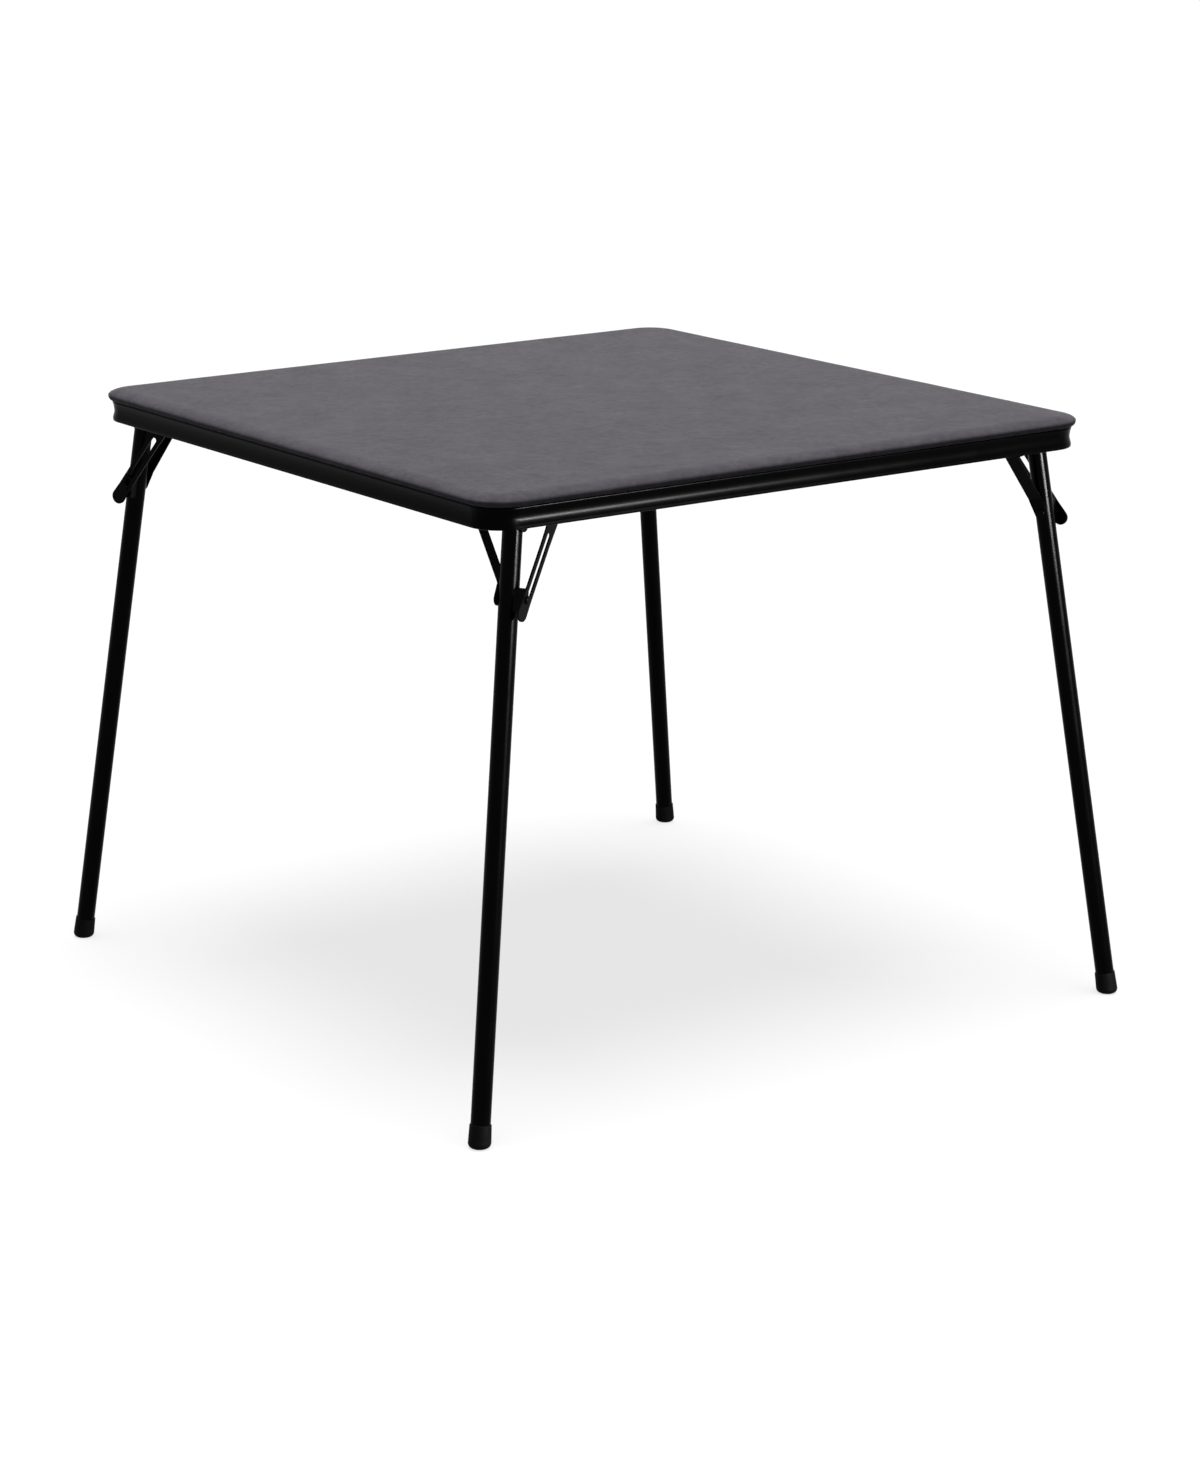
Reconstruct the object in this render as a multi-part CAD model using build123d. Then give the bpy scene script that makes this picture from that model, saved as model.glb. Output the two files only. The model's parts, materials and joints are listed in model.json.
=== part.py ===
from build123d import *
from math import atan2, cos, degrees, hypot, radians, sin
import os

# Folding card table with a padded square top and four legs that fold in a pinwheel.
# The origin is on the floor under the middle of the top, with +Z up. Lengths are in mm.

# Overall sizes
TABLE_HEIGHT = 705.0
TOP_SIDE = 851.0
TOP_CORNER_R = 44.0
CORNER_NAMES = ["front_left", "front_right", "back_right", "back_left"]
QUARTER_TURN = 90.0

# Padded top
COVER_T = 1.0
FOAM_T = 8.0
BOARD_T = 3.0
PAD_ROLL_W = 22.0
PAD_ROLL_H = 7.0
COVER_TURN_IN = 36.0

# Steel rail
RAIL_OVERHANG = 5.0
RAIL_H = 25.0
RAIL_T = 1.0
RAIL_FLANGE_W = 22.0
RAIL_LIP_W = 3.2
RAIL_COVE_DEPTH = 1.9
RAIL_TOP_BEND_R = 2.0
RAIL_LIP_BEND_R = 1.6
RAIL_TOP_BAND = 2.5
RAIL_LIP_BAND = 4.0

# Leg, and where its hinge and foot stand from the rail's outer faces
LEG_D = 22.2
LEG_WALL = 1.0
LEG_ABOVE_HINGE = 10.0
LEG_END_GAP = 5.0
HINGE_INSET_SIDE = 49.8
HINGE_INSET_END = 32.0
HINGE_DROP = 24.0
FOOT_OUT_SIDE = 40.5
FOOT_OUT_END = 28.3
FOLD_TOE_IN_DEG = 23.3

# Foot cap
CAP_TOP_R = 12.1
CAP_LOW_R = 13.0
CAP_H = 26.0
CAP_EDGE_R = 6.0
CAP_OVERCUT = 6.0

# Sheet steel of the hinge parts
PLATE_T = 2.0
RUN_GAP = 0.3
FIT_GAP = 0.05
SIDE_GAP = 1.5

# Hinge bracket
BRACKET_OUT = 32.0
BRACKET_IN = 16.0
BRACKET_END = 17.0
BRACKET_WALL_GAP = 1.0
EAR_R = 9.0
EAR_TOP_HALF_W = 14.0
HINGE_RIVET_R = 3.0
HINGE_HEAD_R = 5.2
RIVET_HEAD_H = 1.8
HEAD_EDGE_H = 0.5

# Side strap: places down the leg from the hinge, and how far each lies to the fold side
STRAP_W = 16.0
STRAP_HINGE_SPAN = 45.5
STRAP_TOP_BEND_AT = 9.0
STRAP_LOW_BEND_AT = 65.0
STRAP_RIVET_AT = 82.0
STRAP_FOOT_ASIDE = -1.0
STRAP_MIDDLE_ASIDE = 4.5
STRAP_TOP_ASIDE = 13.0
STRAP_TOP_AT = 4.0
STRAP_EAR_R = 9.0
STRAP_RIVET_R = 2.5
STRAP_HEAD_R = 4.5
STRAP_TAIL_AT = 8.2

# Pin holder on the leg and its pin, with places measured down the leg from the hinge
HOLDER_T = 1.5
HOLDER_HALF_W = 6.5
HOLDER_TOP_AT = 69.0
HOLDER_END_AT = 94.0
PIN_AT = 80.0
PIN_R = 2.9
PIN_HEAD_R = 4.6
PIN_HEAD_H = 1.6
PIN_COLLAR_H = 1.2
# The pin stands this far behind the leg's middle, and the link's pivot this far under the
# leg's hinge, so the folded link lies flat.
PIN_BACK = 1.5

# Lock link and its hanger
LINK_OFFSET = 25.0
LINK_PIVOT_ASIDE = 43.7
LINK_TOP_R = 9.6
LINK_HALF_W = 8.3
LINK_TIP_R = 9.0
LINK_TIP_PAST_PIN = 25.0
LINK_NECK_AT = 32.0
SLOT_HALF_W = 3.2
SLOT_TOP_AT = 20.0
SLOT_PLAY = 0.5
HANGER_HALF_W = 9.0
HANGER_FOOT = 26.0
LINK_RIVET_R = 2.5
LINK_HEAD_R = 4.2
LINK_HEAD_H = 1.4

# Small fasteners
SCREW_R = 1.75
SCREW_HEAD_R = 4.0
SCREW_HEAD_H = 1.5
SCREW_BITE = 2.2
SCREW_INSET = 11.0
SCREWS_PER_SIDE = 3
FASTENER_CORNER_GAP = 132.0
STAPLE_WIRE = 0.6
STAPLE_W = 10.0
STAPLE_BITE = 1.8
STAPLE_INSET = 30.5
STAPLES_PER_SIDE = 6

# Cutting forms run this far past what they cut.
OVERRUN = 30.0
LONG_CUT = 120.0

# Levels and half widths that follow
PAD_BOTTOM_Z = TABLE_HEIGHT - 2 * COVER_T - FOAM_T - BOARD_T
BOARD_Z = PAD_BOTTOM_Z + COVER_T
TOP_HALF = TOP_SIDE / 2
RAIL_HALF = TOP_HALF - RAIL_OVERHANG
RAIL_BOTTOM_Z = PAD_BOTTOM_Z - RAIL_H
FLANGE_UNDER_Z = PAD_BOTTOM_Z - RAIL_T
LEG_R = LEG_D / 2

# Hinge geometry of the front left corner
HINGE_POINT = Vector(-(RAIL_HALF - HINGE_INSET_SIDE), -(RAIL_HALF - HINGE_INSET_END),
                     PAD_BOTTOM_Z - HINGE_DROP)
FOOT_POINT = Vector(-(RAIL_HALF + FOOT_OUT_SIDE), -(RAIL_HALF + FOOT_OUT_END), 0)
LEG_LENGTH = (FOOT_POINT - HINGE_POINT).length
LEG_DIR = (FOOT_POINT - HINGE_POINT).normalized()
TOE_IN = radians(FOLD_TOE_IN_DEG)
# The hinge axis makes the same angle with the open and the folded leg.
AXIS_TILT = atan2(sin(TOE_IN) - LEG_DIR.Y, cos(TOE_IN) - LEG_DIR.X)
AXIS_DIR = Vector(-sin(AXIS_TILT), cos(AXIS_TILT), 0)
FOLD_SIDE = Vector(cos(AXIS_TILT), sin(AXIS_TILT), 0)
LEAN = atan2(-LEG_DIR.dot(FOLD_SIDE), -LEG_DIR.Z)
# How far the leg's line runs off along the hinge axis, for each mm down the leg's plane
DRIFT_PER_MM = LEG_DIR.dot(AXIS_DIR) / hypot(LEG_DIR.dot(FOLD_SIDE), LEG_DIR.Z)

# Local frames: x to the fold side, y down, z along the hinge axis
BRACKET_PLANE = Plane(origin=HINGE_POINT, x_dir=FOLD_SIDE, z_dir=AXIS_DIR)
LEG_DOWN = Vector(-FOLD_SIDE.X * sin(LEAN), -FOLD_SIDE.Y * sin(LEAN), -cos(LEAN))
LEG_SIDE = AXIS_DIR.cross(LEG_DOWN) * -1
LEG_PLANE = Plane(origin=HINGE_POINT, x_dir=LEG_SIDE, z_dir=AXIS_DIR)

# Lock pin and link pivot, as points of the hinge plane
PIN_FROM_PIVOT_X = -PIN_BACK * cos(LEAN) - PIN_AT * sin(LEAN) - LINK_PIVOT_ASIDE
PIN_FROM_PIVOT_Y = -PIN_BACK * sin(LEAN) + PIN_AT * cos(LEAN) - PIN_BACK
PIN_REACH = hypot(PIN_FROM_PIVOT_X, PIN_FROM_PIVOT_Y)
LINK_ANGLE = degrees(atan2(PIN_FROM_PIVOT_Y, PIN_FROM_PIVOT_X))
LINK_INNER_FACE = -LINK_OFFSET + PLATE_T / 2
LINK_OUTER_FACE = -LINK_OFFSET - PLATE_T / 2
COLLAR_FACE = LINK_INNER_FACE + RUN_GAP + PIN_COLLAR_H
WEB_FACE = COLLAR_FACE + RUN_GAP
HANGER_FACE = LINK_INNER_FACE + RUN_GAP
STRAP_LOW_FACE = LEG_R + STRAP_LOW_BEND_AT * DRIFT_PER_MM
CENTER_LOW = (Align.CENTER, Align.CENTER, Align.MIN)
CENTER_HIGH = (Align.CENTER, Align.CENTER, Align.MAX)


def ring(profile, corner_r, half):
    """Sweep a face, drawn in (outward, z), round a square with round corners."""
    path = RectangleRounded(2 * half, 2 * half, corner_r).face().outer_wire()
    start = path @ 0
    heading = path % 0
    outward = heading.cross(Vector(0, 0, 1))
    if outward.dot(start) < 0:
        outward = outward * -1
    section = Plane(origin=start, x_dir=outward, z_dir=outward.cross(Vector(0, 0, 1)))
    return sweep(section * profile, path=path)


def pad_body(inset):
    """The pad's outer form, drawn in by inset: rolled over the edge and curled in under it."""
    corner_r = TOP_CORNER_R - inset
    top_z = TABLE_HEIGHT - inset
    bottom_z = PAD_BOTTOM_Z + inset
    nose_z = TABLE_HEIGHT - PAD_ROLL_H
    roll_w = PAD_ROLL_W - inset
    curl_w = RAIL_OVERHANG - inset
    inner = -(corner_r + roll_w) / 2
    with BuildSketch() as section:
        with BuildLine():
            Polyline((-roll_w, top_z), (inner, top_z), (inner, bottom_z), (-curl_w, bottom_z))
            EllipticalCenterArc((-roll_w, nose_z), roll_w, top_z - nose_z,
                                start_angle=0, arc_size=QUARTER_TURN)
            EllipticalCenterArc((-curl_w, nose_z), curl_w, nose_z - bottom_z,
                                start_angle=0, arc_size=-QUARTER_TURN)
        make_face()
    rim = ring(section.sketch, corner_r, TOP_HALF - inset)
    core_side = 2 * (TOP_HALF - PAD_ROLL_W)
    core = Pos(0, 0, bottom_z) * RectangleRounded(core_side, core_side, TOP_CORNER_R - PAD_ROLL_W)
    core = extrude(core, top_z - bottom_z)
    return rim + core


def screw_places():
    span = 2 * (RAIL_HALF - FASTENER_CORNER_GAP)
    row = [span * (i / (SCREWS_PER_SIDE - 1) - 1 / 2) for i in range(SCREWS_PER_SIDE)]
    reach = RAIL_HALF - SCREW_INSET
    return [(Rot(Z=QUARTER_TURN * turn) * Pos(along, -reach, 0)).position
            for turn in range(4) for along in row]


def board_screws():
    screws = []
    for place in screw_places():
        shank = Cylinder(SCREW_R, RAIL_T + COVER_T + SCREW_BITE, align=CENTER_LOW)
        head = Cylinder(SCREW_HEAD_R, SCREW_HEAD_H, align=CENTER_HIGH)
        head = fillet(head.edges().group_by(Axis.Z)[0], SCREW_HEAD_H / 2)
        screws.append(Pos(place.X, place.Y, FLANGE_UNDER_Z) * (shank + head))
    return Compound(children=screws)


def screw_holes():
    holes = [Pos(place.X, place.Y, FLANGE_UNDER_Z)
             * Cylinder(SCREW_R, RAIL_T + COVER_T + SCREW_BITE, align=CENTER_LOW)
             for place in screw_places()]
    return Compound(children=holes)


def cover_staples():
    """Wire staples whose crowns lie under the turned-in edge."""
    span = 2 * (RAIL_HALF - FASTENER_CORNER_GAP)
    reach = TOP_HALF - STAPLE_INSET
    leg_h = COVER_T + STAPLE_BITE
    staple = Pos(0, 0, -STAPLE_WIRE / 2) * Box(STAPLE_W, STAPLE_WIRE, STAPLE_WIRE)
    for side in (-1, 1):
        x = side * (STAPLE_W - STAPLE_WIRE) / 2
        staple += Pos(x, 0, leg_h / 2) * Box(STAPLE_WIRE, STAPLE_WIRE, leg_h)
    staples = []
    for turn in range(4):
        for i in range(STAPLES_PER_SIDE):
            along = span * (i / (STAPLES_PER_SIDE - 1) - 1 / 2)
            staples.append(Rot(Z=QUARTER_TURN * turn) * Pos(along, -reach, PAD_BOTTOM_Z) * staple)
    return Compound(children=staples)


def vinyl_cover(holes):
    window_side = TOP_SIDE - 2 * COVER_TURN_IN
    window = extrude(Pos(0, 0, PAD_BOTTOM_Z - OVERRUN)
                     * RectangleRounded(window_side, window_side, TOP_CORNER_R - COVER_TURN_IN),
                     OVERRUN + COVER_T)
    return pad_body(0) - pad_body(COVER_T) - window - holes


def board_slab():
    side = 2 * RAIL_HALF
    return extrude(Pos(0, 0, BOARD_Z) * RectangleRounded(side, side, TOP_CORNER_R - RAIL_OVERHANG), BOARD_T)


def top_board(holes):
    return board_slab() - holes


def foam_pad():
    """The foam fills the cover over the board and wraps the board's edge."""
    return pad_body(COVER_T) - board_slab()


def rail_frame(holes):
    """One rolled ring: a top flange, a coved outer wall and a turned-in bottom lip."""
    top = PAD_BOTTOM_Z
    low = RAIL_BOTTOM_Z
    wall = RAIL_T
    bend = RAIL_TOP_BEND_R
    curl = RAIL_LIP_BEND_R
    mid = (top + low) / 2
    cove_top = top - RAIL_TOP_BAND
    cove_low = low + RAIL_LIP_BAND
    with BuildSketch() as section:
        with BuildLine():
            Line((-RAIL_FLANGE_W, top), (-bend, top))
            RadiusArc((-bend, top), (0, top - bend), bend)
            Line((0, top - bend), (0, cove_top))
            ThreePointArc((0, cove_top), (-RAIL_COVE_DEPTH, mid), (0, cove_low))
            Line((0, cove_low), (0, low + curl))
            RadiusArc((0, low + curl), (-curl, low), curl)
            Line((-curl, low), (-RAIL_LIP_W, low))
            Line((-RAIL_LIP_W, low), (-RAIL_LIP_W, low + wall))
            Line((-RAIL_LIP_W, low + wall), (-curl, low + wall))
            RadiusArc((-curl, low + wall), (-wall, low + curl), wall - curl)
            Line((-wall, low + curl), (-wall, cove_low))
            ThreePointArc((-wall, cove_low), (-wall - RAIL_COVE_DEPTH, mid), (-wall, cove_top))
            Line((-wall, cove_top), (-wall, top - bend))
            RadiusArc((-wall, top - bend), (-bend, top - wall), wall - bend)
            Line((-bend, top - wall), (-RAIL_FLANGE_W, top - wall))
            Line((-RAIL_FLANGE_W, top - wall), (-RAIL_FLANGE_W, top))
        make_face()
    return ring(section.sketch, TOP_CORNER_R - RAIL_OVERHANG, RAIL_HALF) - holes


def axle(plane, x, y, z_low, z_high, radius):
    """A cylinder along the plane's z from z_low to z_high."""
    return plane * Pos(x, y, z_low) * Cylinder(radius, z_high - z_low, align=CENTER_LOW)


def rivet(plane, x, y, z_low, z_high, radius, head_r, head_h):
    """A rivet with a domed head past each end of its shank."""
    low_head = Pos(x, y, z_low) * Cylinder(head_r, head_h, align=CENTER_HIGH)
    low_head = fillet(low_head.edges().group_by(Axis.Z)[0], head_h - HEAD_EDGE_H)
    high_head = Pos(x, y, z_high) * Cylinder(head_r, head_h, align=CENTER_LOW)
    high_head = fillet(high_head.edges().group_by(Axis.Z)[-1], head_h - HEAD_EDGE_H)
    return axle(plane, x, y, z_low, z_high, radius) + plane * low_head + plane * high_head


def leg_line(distance):
    return HINGE_POINT + LEG_DIR * distance


def leg_rod(radius, start, end):
    """A solid rod on the leg's axis, between two distances from the hinge."""
    base = Plane(origin=leg_line(start), x_dir=LEG_SIDE, z_dir=LEG_DIR)
    return base * Cylinder(radius, end - start, align=CENTER_LOW)


def leg_tube():
    end = LEG_LENGTH - LEG_END_GAP
    tube = leg_rod(LEG_R, -LEG_ABOVE_HINGE, end)
    tube -= leg_rod(LEG_R - LEG_WALL, -LEG_ABOVE_HINGE - OVERRUN, end + OVERRUN)
    tube -= axle(LEG_PLANE, 0, 0, -LONG_CUT, LONG_CUT, HINGE_RIVET_R + FIT_GAP)
    return tube - strap_rivet_hole()


def foot_cap():
    """A tapered rubber cap over the end of the tube, rounded into a flat sole."""
    with BuildSketch(Plane.XZ) as section:
        Polygon((0, -CAP_OVERCUT), (CAP_LOW_R, -CAP_OVERCUT), (CAP_LOW_R, 0),
                (CAP_TOP_R, CAP_H), (0, CAP_H), align=None)
    cap = revolve(section.sketch, Axis.Z)
    cap = fillet(cap.edges().group_by(Axis.Z)[-1], (CAP_TOP_R - LEG_R) / 2)
    cap = Plane(origin=FOOT_POINT, x_dir=LEG_SIDE, z_dir=LEG_DIR * -1) * cap
    cap -= leg_rod(LEG_R, 0, LEG_LENGTH - LEG_END_GAP)
    cap -= Pos(FOOT_POINT.X, FOOT_POINT.Y, 0) * Box(LONG_CUT, LONG_CUT, LONG_CUT, align=CENTER_HIGH)
    sole = cap.faces().sort_by(Axis.Z)[0]
    return fillet(sole.outer_wire().edges(), CAP_EDGE_R)


def strap_rivet_hole():
    return axle(LEG_PLANE, STRAP_FOOT_ASIDE, STRAP_RIVET_AT, 0, LONG_CUT, STRAP_RIVET_R)


def strap_rivet():
    return rivet(LEG_PLANE, STRAP_FOOT_ASIDE, STRAP_RIVET_AT, STRAP_RIVET_AT * DRIFT_PER_MM + STRAP_TAIL_AT,
                 STRAP_LOW_FACE + PLATE_T, STRAP_RIVET_R, STRAP_HEAD_R, RIVET_HEAD_H)


def strap_outline():
    """The strap seen along the hinge axis: a band that widens at the top into an ear."""
    places = [(STRAP_FOOT_ASIDE, STRAP_RIVET_AT), (STRAP_MIDDLE_ASIDE, STRAP_LOW_BEND_AT),
              (STRAP_TOP_ASIDE, STRAP_TOP_AT)]
    outline = trace(Polyline(places), STRAP_W)
    for place in places:
        outline += Pos(*place) * Circle(STRAP_W / 2)
    top = Pos(STRAP_TOP_ASIDE, STRAP_TOP_AT) * Circle(STRAP_W / 2)
    return outline + make_hull(Circle(STRAP_EAR_R).edges() + top.edges())


def leg_strap():
    """A flat bar on the leg's side that slants away along the hinge axis to its own ear."""
    ear_face = STRAP_HINGE_SPAN - PLATE_T
    side = Plane(origin=LEG_PLANE.from_local_coords(Vector(LONG_CUT / 2, 0, 0)),
                 x_dir=AXIS_DIR, z_dir=LEG_SIDE * -1)
    # In this sketch x runs along the hinge axis and y down the leg.
    inner = Polyline((STRAP_LOW_FACE, STRAP_RIVET_AT + STRAP_W), (STRAP_LOW_FACE, STRAP_LOW_BEND_AT),
                     (ear_face, STRAP_TOP_BEND_AT), (ear_face, -STRAP_W))
    middle = offset(inner, PLATE_T / 2, side=Side.LEFT, closed=False, kind=Kind.INTERSECTION)
    sheet = extrude(side * trace(middle, PLATE_T), LONG_CUT)
    strap = sheet & LEG_PLANE * extrude(strap_outline(), LONG_CUT)
    strap -= axle(LEG_PLANE, 0, 0, 0, LONG_CUT, HINGE_RIVET_R + FIT_GAP)
    return strap - strap_rivet_hole()


def lock_clip():
    """A narrow channel welded to the leg, with its web towards the link; it holds the pin."""
    base = Plane(origin=leg_line(HOLDER_TOP_AT), x_dir=LEG_SIDE, z_dir=LEG_DIR)
    height = HOLDER_END_AT - HOLDER_TOP_AT
    inner_half = HOLDER_HALF_W - HOLDER_T
    channel = base * Box(2 * HOLDER_HALF_W, LINK_OFFSET, height, align=(Align.CENTER, Align.MIN, Align.MIN))
    inside = base * Box(2 * inner_half, LINK_OFFSET, height, align=(Align.CENTER, Align.MIN, Align.MIN))
    middle = (HOLDER_TOP_AT + HOLDER_END_AT) / 2
    beyond = LEG_PLANE * Pos(0, middle, WEB_FACE) * Box(LONG_CUT, LONG_CUT, LONG_CUT, align=CENTER_HIGH)
    web_side = LEG_PLANE * Pos(0, middle, WEB_FACE + HOLDER_T) * Box(
        LONG_CUT, LONG_CUT, LONG_CUT, align=CENTER_HIGH)
    leg = leg_rod(LEG_R, HOLDER_TOP_AT - OVERRUN, HOLDER_END_AT + OVERRUN)
    return channel - beyond - (inside - web_side) - leg


def lock_pin():
    """A headed pin in the link's slot, with a collar that stands off the holder's web."""
    pin = axle(LEG_PLANE, -PIN_BACK, PIN_AT, LINK_OUTER_FACE - RUN_GAP, COLLAR_FACE, PIN_R)
    pin += axle(LEG_PLANE, -PIN_BACK, PIN_AT, LINK_INNER_FACE + RUN_GAP, COLLAR_FACE, PIN_HEAD_R)
    head = Pos(-PIN_BACK, PIN_AT, LINK_OUTER_FACE - RUN_GAP) * Cylinder(
        PIN_HEAD_R, PIN_HEAD_H, align=CENTER_HIGH)
    head = fillet(head.edges().group_by(Axis.Z)[0], PIN_HEAD_H / 2)
    return pin + LEG_PLANE * head


def lock_link():
    """The slotted link: flared at its rivet, straight along the slot, round at the finger end."""
    tip = PIN_REACH + LINK_TIP_PAST_PIN - LINK_TIP_R
    with BuildSketch() as outline:
        Circle(LINK_TOP_R)
        Polygon((0, -LINK_TOP_R), (LINK_NECK_AT, -LINK_HALF_W), (PIN_REACH, -LINK_HALF_W),
                (tip, -LINK_TIP_R), (tip, LINK_TIP_R), (PIN_REACH, LINK_HALF_W),
                (LINK_NECK_AT, LINK_HALF_W), (0, LINK_TOP_R), align=None)
        with Locations((tip, 0)):
            Circle(LINK_TIP_R)
        slot_end = PIN_REACH + SLOT_PLAY
        with Locations(((SLOT_TOP_AT + slot_end) / 2, 0)):
            SlotCenterToCenter(slot_end - SLOT_TOP_AT, 2 * SLOT_HALF_W, mode=Mode.SUBTRACT)
        Circle(LINK_RIVET_R + FIT_GAP, mode=Mode.SUBTRACT)
    link = extrude(outline.sketch, PLATE_T)
    return BRACKET_PLANE * Pos(LINK_PIVOT_ASIDE, PIN_BACK, LINK_OUTER_FACE) * Rot(Z=LINK_ANGLE) * link


def hanging_ear(aside, drop, z_low, half_w, radius):
    """A plate square to the hinge axis, from the rail's flange down round a pivot."""
    top = FLANGE_UNDER_Z - HINGE_POINT.Z
    with BuildSketch() as outline:
        Polygon((aside - half_w, -top), (aside + half_w, -top), (aside + radius, drop),
                (aside - radius, drop), align=None)
        with Locations((aside, drop)):
            Circle(radius)
    return BRACKET_PLANE * Pos(0, 0, z_low) * extrude(outline.sketch, PLATE_T)


def hinge_bracket():
    """A plate under the flange, cut to the rail's inside, with a clevis and one ear for the strap."""
    top = FLANGE_UNDER_Z - HINGE_POINT.Z
    clevis = LEG_R + SIDE_GAP
    strap_ear = STRAP_HINGE_SPAN + RUN_GAP
    plate = BRACKET_PLANE * Pos(-BRACKET_OUT, -top, -BRACKET_END) * Box(
        BRACKET_OUT + BRACKET_IN, PLATE_T, BRACKET_END + strap_ear + PLATE_T, align=(Align.MIN,) * 3)
    wall_inset = RAIL_T + RAIL_COVE_DEPTH + BRACKET_WALL_GAP
    inside = RectangleRounded(2 * (RAIL_HALF - wall_inset), 2 * (RAIL_HALF - wall_inset),
                              TOP_CORNER_R - RAIL_OVERHANG - wall_inset)
    bracket = plate & Pos(0, 0, RAIL_BOTTOM_Z) * extrude(inside, LONG_CUT)
    for z in (-clevis - PLATE_T, clevis, strap_ear):
        bracket += hanging_ear(0, 0, z, EAR_TOP_HALF_W, EAR_R)
    return bracket - axle(BRACKET_PLANE, 0, 0, -LONG_CUT, LONG_CUT, HINGE_RIVET_R)


def leg_hinge_rivet():
    reach = LEG_R + SIDE_GAP + PLATE_T
    return rivet(BRACKET_PLANE, 0, 0, -reach, reach, HINGE_RIVET_R, HINGE_HEAD_R, RIVET_HEAD_H)


def strap_hinge_rivet():
    low = STRAP_HINGE_SPAN - PLATE_T - RUN_GAP
    high = STRAP_HINGE_SPAN + RUN_GAP + PLATE_T
    return rivet(BRACKET_PLANE, 0, 0, low, high, HINGE_RIVET_R, HINGE_HEAD_R, RIVET_HEAD_H)


def link_hanger():
    """A tab that hangs beside the link, with a foot that runs over the link to the flange."""
    top = FLANGE_UNDER_Z - HINGE_POINT.Z
    tab = hanging_ear(LINK_PIVOT_ASIDE, PIN_BACK, HANGER_FACE, HANGER_HALF_W, HANGER_HALF_W)
    foot = BRACKET_PLANE * Pos(LINK_PIVOT_ASIDE, -top, HANGER_FACE + PLATE_T) * Box(
        2 * HANGER_HALF_W, PLATE_T, HANGER_FOOT, align=(Align.CENTER, Align.MIN, Align.MAX))
    return tab + foot - axle(BRACKET_PLANE, LINK_PIVOT_ASIDE, PIN_BACK, -LONG_CUT, 0, LINK_RIVET_R)


def link_rivet():
    return rivet(BRACKET_PLANE, LINK_PIVOT_ASIDE, PIN_BACK, LINK_OUTER_FACE - RUN_GAP,
                 HANGER_FACE + PLATE_T, LINK_RIVET_R, LINK_HEAD_R, LINK_HEAD_H)


CORNER_PARTS = {
    "leg_tube": leg_tube,
    "foot_cap": foot_cap,
    "leg_strap": leg_strap,
    "strap_rivet": strap_rivet,
    "lock_clip": lock_clip,
    "lock_pin": lock_pin,
    "lock_link": lock_link,
    "hinge_bracket": hinge_bracket,
    "leg_hinge_rivet": leg_hinge_rivet,
    "strap_hinge_rivet": strap_hinge_rivet,
    "link_hanger": link_hanger,
    "link_rivet": link_rivet,
}


def make_nodes():
    holes = screw_holes()
    nodes = {
        "vinyl_cover": vinyl_cover(holes),
        "foam_pad": foam_pad(),
        "top_board": top_board(holes),
        "rail_frame": rail_frame(holes),
        "board_screws": board_screws(),
        "cover_staples": cover_staples(),
    }
    for name, make in CORNER_PARTS.items():
        piece = make()
        for turn, corner in enumerate(CORNER_NAMES):
            nodes[name + "_" + corner] = Rot(Z=QUARTER_TURN * turn) * piece
    return nodes


nodes = make_nodes()
os.makedirs("parts", exist_ok=True)
for name, shape in nodes.items():
    export_step(shape, "parts/" + name + ".step")
print("hinge point", HINGE_POINT, "hinge axis", AXIS_DIR)
print("fold angle", QUARTER_TURN + degrees(LEAN))
print("link angle from the fold side", LINK_ANGLE, "pin reach", PIN_REACH)
print("link pivot", BRACKET_PLANE.from_local_coords(Vector(LINK_PIVOT_ASIDE, PIN_BACK, -LINK_OFFSET)))
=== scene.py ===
import json
import math
import bpy
import numpy as np
from mathutils import Matrix, Vector


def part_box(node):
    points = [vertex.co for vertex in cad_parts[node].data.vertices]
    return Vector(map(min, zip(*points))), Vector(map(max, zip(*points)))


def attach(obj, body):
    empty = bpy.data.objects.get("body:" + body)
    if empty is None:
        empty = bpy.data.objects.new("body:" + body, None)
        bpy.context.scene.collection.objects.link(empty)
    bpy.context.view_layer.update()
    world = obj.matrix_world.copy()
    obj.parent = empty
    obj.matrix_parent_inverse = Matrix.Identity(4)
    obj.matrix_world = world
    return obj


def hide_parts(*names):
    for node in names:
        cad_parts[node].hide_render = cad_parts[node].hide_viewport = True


# Dresses the folding card table: vinyl over a foam pad, black enamel, rubber and steel.
# Lengths are in metres, in the part's own frame: floor at z = 0, +Z up.
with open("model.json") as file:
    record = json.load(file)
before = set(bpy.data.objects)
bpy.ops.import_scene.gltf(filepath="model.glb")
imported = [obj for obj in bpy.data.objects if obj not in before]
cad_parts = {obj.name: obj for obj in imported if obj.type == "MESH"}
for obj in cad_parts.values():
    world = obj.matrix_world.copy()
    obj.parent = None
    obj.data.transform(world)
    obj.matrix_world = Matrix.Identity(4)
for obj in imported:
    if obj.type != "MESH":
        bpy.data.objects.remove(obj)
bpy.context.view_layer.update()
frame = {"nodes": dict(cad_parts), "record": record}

MM = 0.001

# Camera, solved from the table's edges, legs and feet in the photograph
IMAGE_W_PX = 1200
IMAGE_H_PX = 1467
FOCAL_PX = 3890.8
SENSOR_MM = 36.0
CAMERA_PLACE = Vector((-2.6685, -3.7242, 1.5137))
CAMERA_AZIMUTH = math.radians(-35.87)
CAMERA_ELEVATION = math.radians(14.90)
CAMERA_CLIP_END = 60.0

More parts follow.
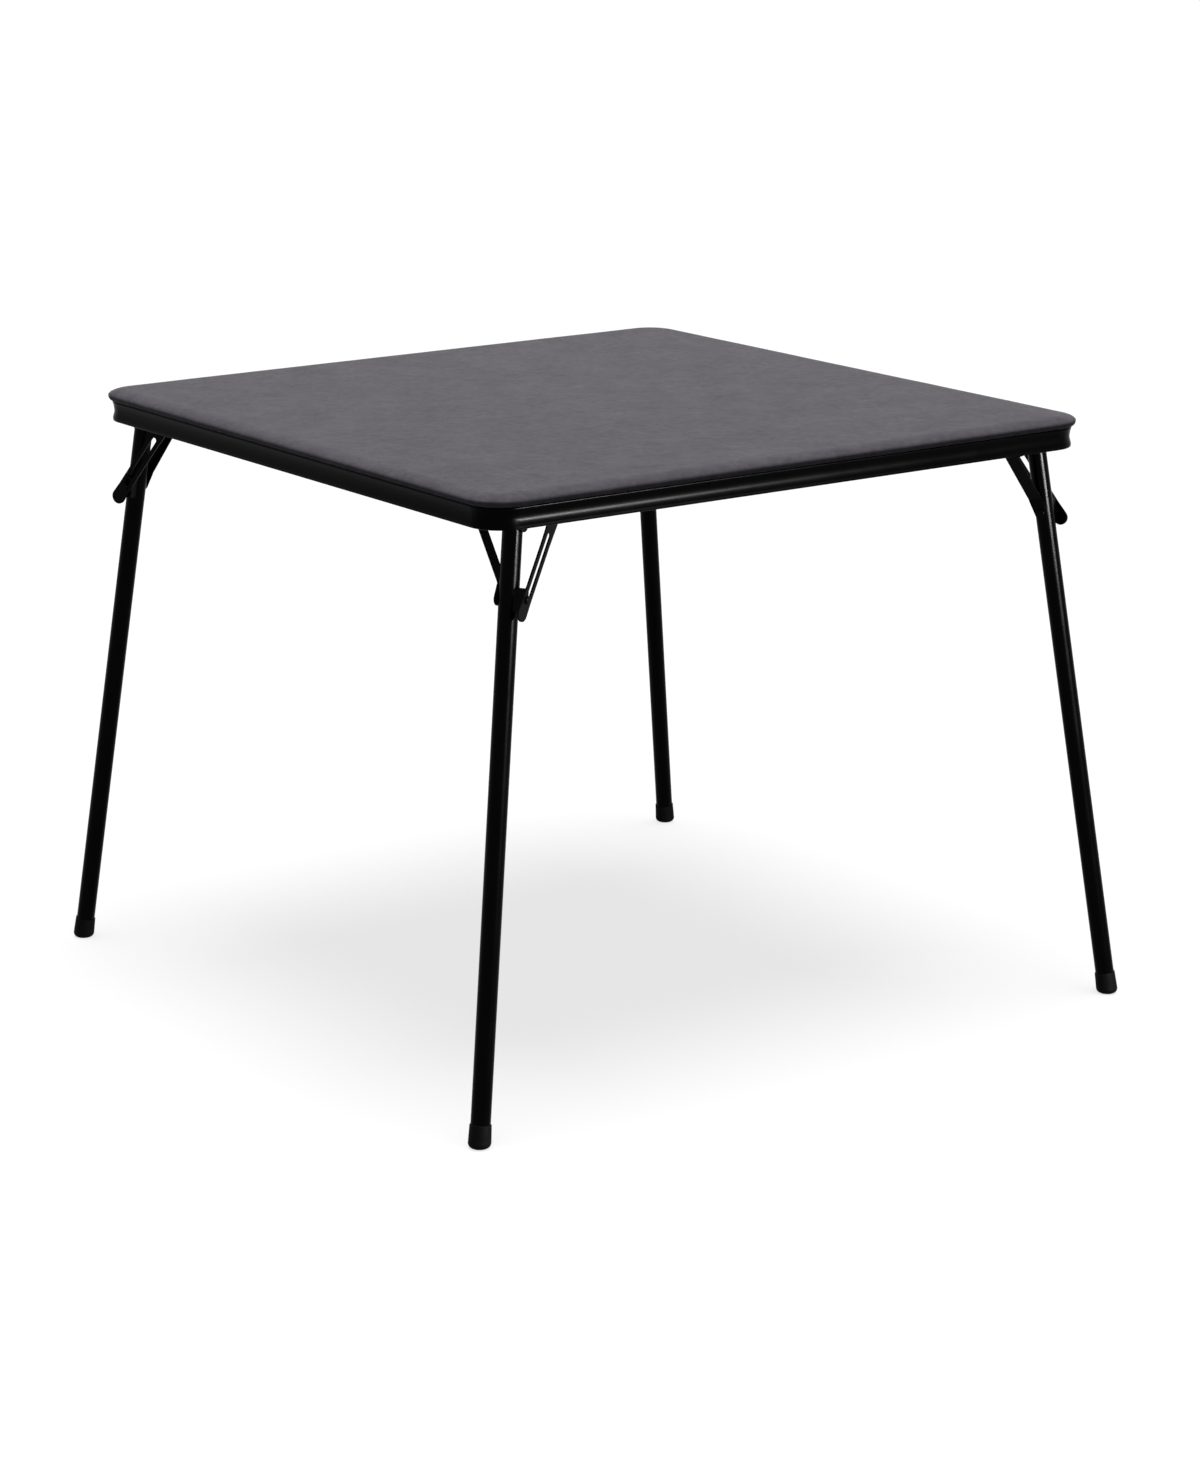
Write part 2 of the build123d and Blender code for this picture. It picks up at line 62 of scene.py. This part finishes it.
# Pad, as the part has it
COVER_T = 1.0 * MM
BOARD_T = 3.0 * MM
ROLL_W = 22.0 * MM
ROLL_H = 7.0 * MM
OVERHANG = 5.0 * MM
TURN_IN = 36.0 * MM
CORNER_R = 44.0 * MM
SKIN_GAP = 0.05 * MM
INNER_RING = 18.0 * MM
RING_SPACING_POWER = 0.8
FOAM_BASE_SHARE = 0.95

# Unevenness of the stretched cover: shallow dips on top, gathers under the corners
DIP_DEPTH = 0.18 * MM
DIP_FADE = 0.5 * MM
GATHER_DEPTH = 0.35 * MM
GATHER_FADE = 0.1 * MM
GATHER_START_SHARE = 0.86
GATHER_WAVES = 22.0

# How finely the pad is meshed
CORNER_STEPS = 24
SIDE_STEPS = 72
ROLL_STEPS = 14
CURL_STEPS = 8
TOP_RINGS = 34
UNDER_RINGS = 6


def make_camera():
    az, el = CAMERA_AZIMUTH, CAMERA_ELEVATION
    right = Vector((math.cos(az), math.sin(az), 0))
    back = Vector((math.sin(az) * math.cos(el), -math.cos(az) * math.cos(el), math.sin(el)))
    up = back.cross(right)
    data = bpy.data.cameras.new("photo_camera")
    data.sensor_fit = "VERTICAL"
    data.sensor_height = SENSOR_MM
    data.lens = FOCAL_PX * SENSOR_MM / IMAGE_H_PX
    data.clip_end = CAMERA_CLIP_END
    camera = bpy.data.objects.new("photo_camera", data)
    turn = Matrix((right, up, back)).transposed().to_4x4()
    camera.matrix_world = Matrix.Translation(CAMERA_PLACE) @ turn
    bpy.context.scene.collection.objects.link(camera)
    bpy.context.scene.camera = camera


# Materials, with noise scales per metre, and depths in metres

BLACK = (0.0, 0.0, 0.0)
WHITE = (1.0, 1.0, 1.0)


def new_material(name):
    material = bpy.data.materials.new(name)
    material.use_nodes = True
    tree = material.node_tree
    tree.nodes.clear()
    out = tree.nodes.new("ShaderNodeOutputMaterial")
    shader = tree.nodes.new("ShaderNodeBsdfPrincipled")
    tree.links.new(shader.outputs[0], out.inputs[0])
    return material, tree, shader


def add(tree, kind, **values):
    node = tree.nodes.new("ShaderNode" + kind)
    for key, value in values.items():
        if key in node.inputs:
            node.inputs[key].default_value = value
        else:
            setattr(node, key, value)
    return node


def object_coords(tree):
    return add(tree, "TexCoord").outputs["Object"]


def noise(tree, vector, scale, detail=3.0, roughness=0.55, distortion=0.0):
    node = add(tree, "TexNoise", Scale=scale, Detail=detail, Roughness=roughness, Distortion=distortion)
    tree.links.new(vector, node.inputs["Vector"])
    return node.outputs["Fac"]


def ramp(tree, value, stops):
    node = add(tree, "ValToRGB")
    marks = node.color_ramp.elements
    while len(marks) < len(stops):
        marks.new(0.5)
    for mark, (place, colour) in zip(marks, stops):
        mark.position = place
        mark.color = (*colour, 1.0)
    tree.links.new(value, node.inputs[0])
    return node.outputs["Color"]


def grey(level):
    return (level, level, level)


def combine(tree, kind, a, b):
    node = add(tree, "Math", operation=kind)
    for socket, value in zip(node.inputs, (a, b)):
        if isinstance(value, (int, float)):
            socket.default_value = value
        else:
            tree.links.new(value, socket)
    return node.outputs[0]


def map_range(tree, value, source, target):
    node = add(tree, "MapRange")
    for key, number in zip(("From Min", "From Max", "To Min", "To Max"), (*source, *target)):
        node.inputs[key].default_value = number
    tree.links.new(value, node.inputs["Value"])
    return node.outputs[0]


def weighted(tree, *terms):
    """The sum of values, each times its weight."""
    total = None
    for value, weight in terms:
        share = combine(tree, "MULTIPLY", value, weight)
        total = share if total is None else combine(tree, "ADD", total, share)
    return total


def bump(tree, shader, height, distance):
    node = add(tree, "Bump", Distance=distance, Strength=1.0)
    tree.links.new(height, node.inputs["Height"])
    tree.links.new(node.outputs["Normal"], shader.inputs["Normal"])


VINYL_DARK = (0.071, 0.0665, 0.0775)
VINYL_MIDDLE = (0.0955, 0.0895, 0.104)
VINYL_LIGHT = (0.1235, 0.1155, 0.134)
VINYL_SPECULAR = 0.005
VINYL_CELL_SCALE = 620.0
VINYL_CELL_WARP = 1.2 * MM
VINYL_GRAIN_DEPTH = 0.22 * MM
# How strongly painted shade darkens the vinyl's grain creases.
VINYL_CREASE_SHADE = 0.16


def vinyl_material():
    """Soft grained vinyl: pebbled cells with fine creases darkened by painted shade, a cloudy tint and a
    low sheen.
    """
    material, tree, shader = new_material("grained_vinyl")
    shader.inputs["Specular IOR Level"].default_value = VINYL_SPECULAR
    vector = object_coords(tree)
    cells = add(tree, "TexVoronoi", feature="DISTANCE_TO_EDGE", Scale=VINYL_CELL_SCALE, Randomness=0.9)
    warp = add(tree, "TexNoise", Scale=260.0, Detail=2.0)
    tree.links.new(vector, warp.inputs["Vector"])
    shift = add(tree, "VectorMath", operation="MULTIPLY_ADD")
    tree.links.new(warp.outputs["Color"], shift.inputs[0])
    shift.inputs[1].default_value = (VINYL_CELL_WARP, VINYL_CELL_WARP, VINYL_CELL_WARP)
    tree.links.new(vector, shift.inputs[2])
    tree.links.new(shift.outputs[0], cells.inputs["Vector"])
    pebble = ramp(tree, cells.outputs["Distance"], [(0.0, BLACK), (0.09, grey(0.75)), (0.3, WHITE)])
    fine = noise(tree, vector, 1500.0, detail=2.0)
    coarse = noise(tree, vector, 95.0, detail=4.0, roughness=0.6)
    bump(tree, shader, weighted(tree, (pebble, 0.7), (fine, 0.2), (coarse, 1.6)), VINYL_GRAIN_DEPTH)
    clouds = noise(tree, vector, 22.0, detail=6.0, roughness=0.68, distortion=0.4)
    mottle = noise(tree, vector, 120.0, detail=5.0, roughness=0.7)
    tone = weighted(tree, (clouds, 0.5), (mottle, 0.5))
    colour = ramp(tree, tone, [(0.32, VINYL_DARK), (0.5, VINYL_MIDDLE), (0.68, VINYL_LIGHT)])
    # Painted shade: the colour is darkened in the recessed creases between the pebbled cells.
    painted_crease_shade = add(tree, "Mix", data_type="RGBA", blend_type="MULTIPLY")
    painted_crease_shade.inputs[0].default_value = VINYL_CREASE_SHADE
    tree.links.new(colour, painted_crease_shade.inputs[6])
    tree.links.new(pebble, painted_crease_shade.inputs[7])
    tree.links.new(painted_crease_shade.outputs[2], shader.inputs["Base Color"])
    rough = ramp(tree, coarse, [(0.3, grey(0.27)), (0.7, grey(0.35))])
    tree.links.new(rough, shader.inputs["Roughness"])
    return material


def enamel_material(name, level, roughness, specular, peel_scale, peel_depth):
    """Black paint over steel: a thin orange peel, uneven gloss and faint dust."""
    material, tree, shader = new_material(name)
    shader.inputs["Specular IOR Level"].default_value = specular
    vector = object_coords(tree)
    peel = noise(tree, vector, peel_scale, detail=2.0)
    smudge = noise(tree, vector, 22.0, detail=5.0, roughness=0.65, distortion=0.6)
    dust = noise(tree, vector, 1400.0, detail=1.0)
    bump(tree, shader, weighted(tree, (peel, 1.0), (dust, 0.12)), peel_depth)
    low, high = roughness
    rough = ramp(tree, smudge, [(0.3, grey(low)), (0.75, grey(high))])
    tree.links.new(rough, shader.inputs["Roughness"])
    dark = grey(level * 0.75)
    light = (level * 1.25, level * 1.25, level * 1.35)
    colour = ramp(tree, smudge, [(0.2, dark), (0.8, light)])
    tree.links.new(colour, shader.inputs["Base Color"])
    return material


RUBBER_BLACK = grey(0.004)
RUBBER_DUSTY = (0.008, 0.0077, 0.0074)
RUBBER_GRAIN_DEPTH = 0.12 * MM
RUBBER_DUST_HEIGHT = 14.0 * MM


def rubber_material():
    """Moulded black rubber, matt, with a little dust low down where it meets the floor."""
    material, tree, shader = new_material("moulded_rubber")
    shader.inputs["Specular IOR Level"].default_value = 0.03
    vector = object_coords(tree)
    grain = noise(tree, vector, 900.0, detail=3.0)
    patch = noise(tree, vector, 60.0, detail=4.0)
    bump(tree, shader, combine(tree, "ADD", grain, patch), RUBBER_GRAIN_DEPTH)
    place = add(tree, "SeparateXYZ")
    tree.links.new(vector, place.inputs[0])
    low = map_range(tree, place.outputs["Z"], (0.0, RUBBER_DUST_HEIGHT), (1.0, 0.0))
    dusty = combine(tree, "MULTIPLY", low, patch)
    colour = ramp(tree, dusty, [(0.0, RUBBER_BLACK), (0.6, RUBBER_DUSTY)])
    tree.links.new(colour, shader.inputs["Base Color"])
    rough = ramp(tree, patch, [(0.3, grey(0.55)), (0.7, grey(0.72))])
    tree.links.new(rough, shader.inputs["Roughness"])
    return material


PLATED_DARK = (0.075, 0.075, 0.08)
PLATED_LIGHT = (0.14, 0.138, 0.14)
PLATED_SCRATCH_DEPTH = 0.04 * MM


def plated_material():
    """Dark plated steel of the screws and the staples."""
    material, tree, shader = new_material("dark_plated_steel")
    shader.inputs["Metallic"].default_value = 1.0
    vector = object_coords(tree)
    scratch = noise(tree, vector, 700.0, detail=4.0, distortion=1.2)
    tone = noise(tree, vector, 180.0, detail=3.0)
    bump(tree, shader, scratch, PLATED_SCRATCH_DEPTH)
    colour = ramp(tree, tone, [(0.3, PLATED_DARK), (0.7, PLATED_LIGHT)])
    tree.links.new(colour, shader.inputs["Base Color"])
    rough = ramp(tree, scratch, [(0.3, grey(0.28)), (0.7, grey(0.5))])
    tree.links.new(rough, shader.inputs["Roughness"])
    return material


HARDBOARD_DARK = (0.105, 0.058, 0.03)
HARDBOARD_MIDDLE = (0.2, 0.118, 0.062)
HARDBOARD_LIGHT = (0.3, 0.19, 0.11)
HARDBOARD_GRAIN_DEPTH = 0.2 * MM


def hardboard_material():
    """Pressed brown hardboard: matted fibres, cloudy tone and screen marks."""
    material, tree, shader = new_material("pressed_hardboard")
    shader.inputs["Specular IOR Level"].default_value = 0.3
    shader.inputs["Roughness"].default_value = 0.75
    vector = object_coords(tree)
    fibres = noise(tree, vector, 420.0, detail=6.0, roughness=0.75, distortion=2.5)
    clouds = noise(tree, vector, 9.0, detail=5.0, roughness=0.6)
    screen_marks = add(tree, "TexBrick", Scale=330.0)
    tree.links.new(vector, screen_marks.inputs["Vector"])
    tone = weighted(tree, (fibres, 0.65), (clouds, 0.35))
    colour = ramp(tree, tone, [(0.3, HARDBOARD_DARK), (0.5, HARDBOARD_MIDDLE), (0.7, HARDBOARD_LIGHT)])
    tree.links.new(colour, shader.inputs["Base Color"])
    height = weighted(tree, (fibres, 1.0), (screen_marks.outputs["Fac"], 0.3))
    bump(tree, shader, height, HARDBOARD_GRAIN_DEPTH)
    return material


FOAM_SHADE = (0.42, 0.38, 0.28)
FOAM_LIGHT = (0.72, 0.68, 0.55)
FOAM_CELL_DEPTH = 0.6 * MM


def foam_material():
    """Cut open-cell foam."""
    material, tree, shader = new_material("cut_foam")
    shader.inputs["Roughness"].default_value = 0.9
    cells = add(tree, "TexVoronoi", Scale=900.0)
    tree.links.new(object_coords(tree), cells.inputs["Vector"])
    colour = ramp(tree, cells.outputs["Distance"], [(0.0, FOAM_SHADE), (0.7, FOAM_LIGHT)])
    tree.links.new(colour, shader.inputs["Base Color"])
    bump(tree, shader, cells.outputs["Distance"], FOAM_CELL_DEPTH)
    return material


# Pad and cover meshes

def round_square(half, radius, z):
    """One closed ring of points round a square with round corners."""
    points = []
    straight = half - radius
    for turn in range(4):
        start = math.pi * (turn - 1) / 2
        c, s = math.cos(start), math.sin(start)
        for i in range(SIDE_STEPS):
            along = straight * (2 * i / SIDE_STEPS - 1)
            points.append((-s * along + c * half, c * along + s * half, z))
        for i in range(CORNER_STEPS):
            a = start + (math.pi / 2) * i / CORNER_STEPS
            cx = c * straight - s * straight
            cy = s * straight + c * straight
            points.append((cx + radius * math.cos(a), cy + radius * math.sin(a), z))
    return points


def loft(name, rings):
    """A closed mesh through rings of equal length; the first and the last close on a centre point."""
    count = len(rings[0])
    verts = [p for ring in rings for p in ring]
    faces = []
    for k in range(len(rings) - 1):
        a, b = k * count, (k + 1) * count
        for i in range(count):
            j = (i + 1) % count
            faces.append((a + i, a + j, b + j, b + i))
    for k, flip in ((0, True), (len(rings) - 1, False)):
        centre = len(verts)
        verts.append(tuple(sum(p[axis] for p in rings[k]) / count for axis in range(3)))
        for i in range(count):
            fan = (k * count + i, k * count + (i + 1) % count, centre)
            faces.append(fan[::-1] if flip else fan)
    mesh = bpy.data.meshes.new(name)
    mesh.from_pydata(verts, [], faces)
    mesh.validate()
    mesh.update()
    for polygon in mesh.polygons:
        polygon.use_smooth = True
    piece = bpy.data.objects.new(name, mesh)
    bpy.context.scene.collection.objects.link(piece)
    return piece


def pad_levels():
    low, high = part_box("vinyl_cover")
    return high.x, high.z, low.z


def pad_profile(inset):
    """(distance in from the nose, z) of the pad's skin, from the top's middle to the flat under-edge."""
    half, top, bottom = pad_levels()
    nose = top - ROLL_H
    middle = half - INNER_RING
    points = []
    for i in range(TOP_RINGS):
        outward = (i / TOP_RINGS) ** RING_SPACING_POWER
        points.append((middle - (middle - ROLL_W) * outward, top - inset))
    for i in range(ROLL_STEPS):
        a = math.pi / 2 * i / ROLL_STEPS
        points.append((ROLL_W - (ROLL_W - inset) * math.sin(a), nose + (ROLL_H - inset) * math.cos(a)))
    for i in range(CURL_STEPS + 1):
        a = math.pi / 2 * i / CURL_STEPS
        inward = OVERHANG - (OVERHANG - inset) * math.cos(a)
        points.append((inward, nose - (nose - bottom - inset) * math.sin(a)))
    return points


def ring_at(inward, z):
    half = pad_levels()[0]
    reach = half - inward
    radius = CORNER_R - inward if inward < ROLL_W else (CORNER_R - ROLL_W) * reach / (half - ROLL_W)
    return round_square(reach, radius, z)


def top_dip(x, y):
    """How deep the stretched top dips at a place: long waves with shorter ones over them."""
    long_waves = math.sin(9.1 * x + 4.0 * y + 0.4) * math.sin(7.3 * y - 3.1 * x)
    short_waves = math.sin(31.0 * x - 17.0 * y + 1.3) * math.sin(27.0 * y + 11.0 * x)
    return DIP_DEPTH * abs(long_waves + 0.5 * short_waves)


def corner_gather(x, y, half):
    """How far the skin under a corner is drawn in by its gathers."""
    corner = max(0.0, min(abs(x), abs(y)) / half - GATHER_START_SHARE) / (1.0 - GATHER_START_SHARE)
    centre = half - CORNER_R
    angle = math.atan2(abs(y) - centre, abs(x) - centre)
    return abs(GATHER_DEPTH * corner * math.sin(GATHER_WAVES * angle))


def ripple(points):
    """Slight unevenness of stretched vinyl: long dips on top, small gathers under the corners."""
    half, top, bottom = pad_levels()
    nose = top - ROLL_H
    out = []
    for x, y, z in points:
        if z > nose + DIP_FADE:
            z -= top_dip(x, y)
        elif z > bottom + GATHER_FADE:
            share = 1.0 - corner_gather(x, y, half) / math.hypot(x, y)
            x *= share
            y *= share
        out.append((x, y, z))
    return out


def make_cover():
    bottom = pad_levels()[2]
    outer = pad_profile(0.0)
    inner = pad_profile(COVER_T)
    under = [(inward, bottom) for inward in np.linspace(OVERHANG, TURN_IN, UNDER_RINGS)[1:]]
    rings = [ripple(ring_at(*p)) for p in outer] + [ring_at(*p) for p in under]
    back = [(inward, bottom + COVER_T) for inward in np.linspace(TURN_IN, OVERHANG, UNDER_RINGS)[:-1]]
    rings += [ring_at(*p) for p in back]
    rings += [ring_at(inward, z) for inward, z in reversed(inner)]
    return loft("cover", rings)


def make_foam():
    half, _, bottom = pad_levels()
    board_top = bottom + COVER_T + BOARD_T
    skin = pad_profile(COVER_T + SKIN_GAP)
    rings = [ring_at(*p) for p in skin]
    gap = OVERHANG - SKIN_GAP
    base = board_top + SKIN_GAP
    rings += [ring_at(inward, base) for inward in np.linspace(gap, half * FOAM_BASE_SHARE, UNDER_RINGS)]
    return loft("foam", rings)


def dress_pad():
    cover = make_cover()
    cover.data.materials.append(vinyl_material())
    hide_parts("vinyl_cover")
    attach(cover, "table_top")
    foam = make_foam()
    foam.data.materials.append(foam_material())
    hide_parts("foam_pad")
    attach(foam, "table_top")


def dress_steel():
    """Gives each CAD node outside the pad its finish, by the record's material slots."""
    rail_enamel = enamel_material("rail_gloss_enamel", level=0.0004, roughness=(0.21, 0.27),
                                  specular=0.017, peel_scale=320.0, peel_depth=0.015 * MM)
    leg_enamel = enamel_material("leg_gloss_enamel", level=0.0004, roughness=(0.17, 0.24),
                                 specular=0.022, peel_scale=420.0, peel_depth=0.02 * MM)
    satin_enamel = enamel_material("satin_black_enamel", level=0.0008, roughness=(0.32, 0.42),
                                   specular=0.03, peel_scale=700.0, peel_depth=0.1 * MM)
    finishes = {
        "rail_enamel": rail_enamel,
        "leg_enamel": leg_enamel,
        "satin_black_steel": satin_enamel,
        "foot_rubber": rubber_material(),
        "plated_steel": plated_material(),
        "hardboard": hardboard_material(),
    }
    for subpart in frame["record"]["subparts"]:
        node = frame["nodes"][subpart["node"]]
        finish = finishes.get(subpart["material_slot"])
        if finish is not None:
            for slot in node.material_slots:
                slot.material = finish


# Stage

# The floor is white for the rays that show it, and darker as a source of bounced light.
FLOOR_SIDE = 40.0
FLOOR_GLOW = 0.78
FLOOR_SEEN_ALBEDO = 0.22
FLOOR_ALBEDO = 0.12
WORLD_DIFFUSE = 0.07
WORLD_SEEN = 1.0

OVERHEAD_ANGLE = math.radians(36.0)
OVERHEAD_STRENGTH = 3.6
OVERHEAD_PLACE = (0, 0, 4.0)
OVERHEAD_TARGET = (0.0, 0.3, 0)
STRIP_LENGTH = 0.92
STRIP_HEIGHT = 0.08
STRIP_POWER = 250.0
STRIP_PLACE = (0.81, -2.6, 0.68)
STRIP_TARGET = (-0.2, -0.3, 0.5)


def by_ray(tree, plain, seen):
    """One level for diffuse rays, and one for camera, transmission and glossy rays."""
    path = add(tree, "LightPath").outputs
    shown = combine(tree, "MAXIMUM", path["Is Camera Ray"], path["Is Transmission Ray"])
    shown = combine(tree, "MAXIMUM", shown, path["Is Glossy Ray"])
    return map_range(tree, shown, (0.0, 1.0), (plain, seen))


def make_floor():
    """A white floor: it glows for the rays that show it, and still takes the object's shadow."""
    mesh = bpy.data.meshes.new("floor")
    half = FLOOR_SIDE / 2
    corners = [(-half, -half, 0), (half, -half, 0), (half, half, 0), (-half, half, 0)]
    mesh.from_pydata(corners, [], [(0, 1, 2, 3)])
    floor = bpy.data.objects.new("floor", mesh)
    bpy.context.scene.collection.objects.link(floor)
    material, tree, shader = new_material("pale_floor")
    shader.inputs["Roughness"].default_value = 0.9
    shader.inputs["Specular IOR Level"].default_value = 0.0
    shader.inputs["Emission Color"].default_value = (1, 1, 1, 1)
    tree.links.new(by_ray(tree, 0.0, FLOOR_GLOW), shader.inputs["Emission Strength"])
    tree.links.new(by_ray(tree, FLOOR_ALBEDO, FLOOR_SEEN_ALBEDO), shader.inputs["Base Color"])
    mesh.materials.append(material)


def make_world():
    world = bpy.data.worlds.new("studio")
    world.use_nodes = True
    bpy.context.scene.world = world
    tree = world.node_tree
    back = tree.nodes["Background"]
    back.inputs["Color"].default_value = (1, 1, 1, 1)
    tree.links.new(by_ray(tree, WORLD_DIFFUSE, WORLD_SEEN), back.inputs["Strength"])


def add_light(name, data, place, target):
    light = bpy.data.objects.new(name, data)
    light.location = place
    aim = Vector(target) - Vector(place)
    light.rotation_euler = aim.to_track_quat("-Z", "Y").to_euler()
    bpy.context.scene.collection.objects.link(light)
    return light


def make_lights():
    overhead = bpy.data.lights.new("overhead_sky", "SUN")
    overhead.angle = OVERHEAD_ANGLE
    overhead.energy = OVERHEAD_STRENGTH
    add_light("overhead_sky", overhead, OVERHEAD_PLACE, OVERHEAD_TARGET)
    # The strip is for highlights only.
    strip = bpy.data.lights.new("low_front_box", "AREA")
    strip.shape = "RECTANGLE"
    strip.size = STRIP_LENGTH
    strip.size_y = STRIP_HEIGHT
    strip.energy = STRIP_POWER
    low_box = add_light("low_front_box", strip, STRIP_PLACE, STRIP_TARGET)
    low_box.visible_diffuse = False


make_camera()
dress_pad()
dress_steel()
make_floor()
make_world()
make_lights()
bpy.context.scene.view_settings.view_transform = "Standard"


def plain(box):
    return [[float(c) for c in corner] for corner in box]
